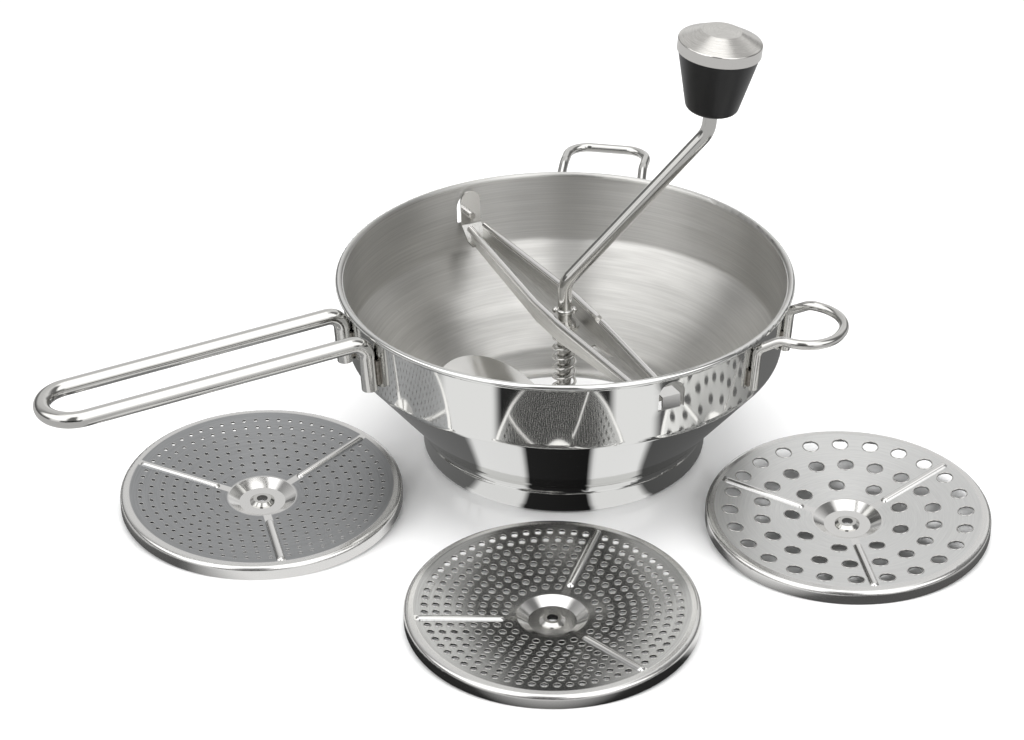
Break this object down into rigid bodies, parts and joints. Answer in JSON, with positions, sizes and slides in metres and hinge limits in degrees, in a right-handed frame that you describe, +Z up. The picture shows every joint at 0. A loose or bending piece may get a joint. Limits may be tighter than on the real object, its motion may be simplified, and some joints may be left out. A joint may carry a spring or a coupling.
{
  "type": "hand cranked food strainer",
  "caption": "Steel straining bowl on a foot ring with a long twin rod handle, rest loops, crossbar, sprung crank with scraping blade and black knob, and loose perforated discs.",
  "frame": {"origin": "on the mill's turning axis at table level, in the middle of the outlet under the foot ring", "axes": "+Z up along the crank shaft, +X toward the crank's knob, +Y away from the viewer of the picture"},
  "size_m": [0.483, 0.4021, 0.2406],
  "materials": {
    "polished_sheet": "stainless sheet, mirror polished outside and brushed inside",
    "bright_rod": "stainless rod, bright drawn and polished",
    "weld_steel": "stainless weld bead, as welded",
    "pressed_bar": "pressed stainless sheet, satin with polished ridges",
    "bushing_steel": "turned stainless, bright",
    "crank_steel": "stainless rod, polished",
    "black_knob": "black moulded phenolic resin, semi gloss",
    "knob_metal": "spun stainless cap, polished band and brushed top",
    "spring_steel": "stainless spring wire, bright",
    "blade_sheet": "stainless sheet, polished",
    "disc_fine_sheet": "stainless sheet, satin with fine punched holes",
    "disc_medium_sheet": "stainless sheet, polished with punched holes",
    "disc_coarse_sheet": "stainless sheet, satin with large punched holes",
    "eyelet_steel": "pressed stainless eyelet, bright"
  },
  "bodies": {
    "mill": {"bowl": "polished_sheet", "handle_rod": "bright_rod", "handle_welds": "weld_steel", "rest_loop_side": "bright_rod", "rest_loop_back": "bright_rod", "loop_welds": "weld_steel", "crossbar": "pressed_bar", "bar_bushing": "bushing_steel", "ear_button": "bushing_steel", "spring_washer_top": "bushing_steel"},
    "spring_seat": {"spring_washer_low": "bushing_steel", "spring": "spring_steel"},
    "crank": {"crank_rod": "crank_steel", "stop_collar": "bushing_steel", "blade_hub": "bushing_steel", "hub_pin": "bushing_steel", "blade": "blade_sheet", "knob_clip": "bushing_steel"},
    "knob": {"knob_body": "black_knob", "knob_cap": "knob_metal"},
    "fine_disc": {"disc_fine": "disc_fine_sheet", "disc_fine_eyelet": "eyelet_steel"},
    "medium_disc": {"disc_medium": "disc_medium_sheet", "disc_medium_eyelet": "eyelet_steel"},
    "coarse_disc": {"disc_coarse": "disc_coarse_sheet", "disc_coarse_eyelet": "eyelet_steel"}
  },
  "joints": [
    {"name": "crank_float", "type": "slide", "parent": "mill", "child": "spring_seat", "axis": [0, 0, 1], "range_m": [-0.005, 0.008], "stiffness_N_per_m": 1500, "springref_m": -0.008, "deforming": ["spring"]},
    {"name": "crank_spin", "type": "hinge", "parent": "spring_seat", "child": "crank", "pos_m": [0, 0, 0.07], "axis": [0, 0, 1], "continuous": true},
    {"name": "knob_spin", "type": "hinge", "parent": "crank", "child": "knob", "pos_m": [0.0736, 0, 0.1958], "axis": [0.0958, 0, 0.9954], "continuous": true},
    {"name": "fine_disc_slide", "type": "slide", "parent": "mill", "child": "fine_disc", "axis": [-0.9267, -0.3757, 0], "range_m": [0, 0.1]},
    {"name": "medium_disc_slide", "type": "slide", "parent": "mill", "child": "medium_disc", "axis": [-0.0444, -0.999, 0], "range_m": [0, 0.1]},
    {"name": "coarse_disc_slide", "type": "slide", "parent": "mill", "child": "coarse_disc", "axis": [0.8593, -0.5115, 0], "range_m": [0, 0.1]}
  ]
}
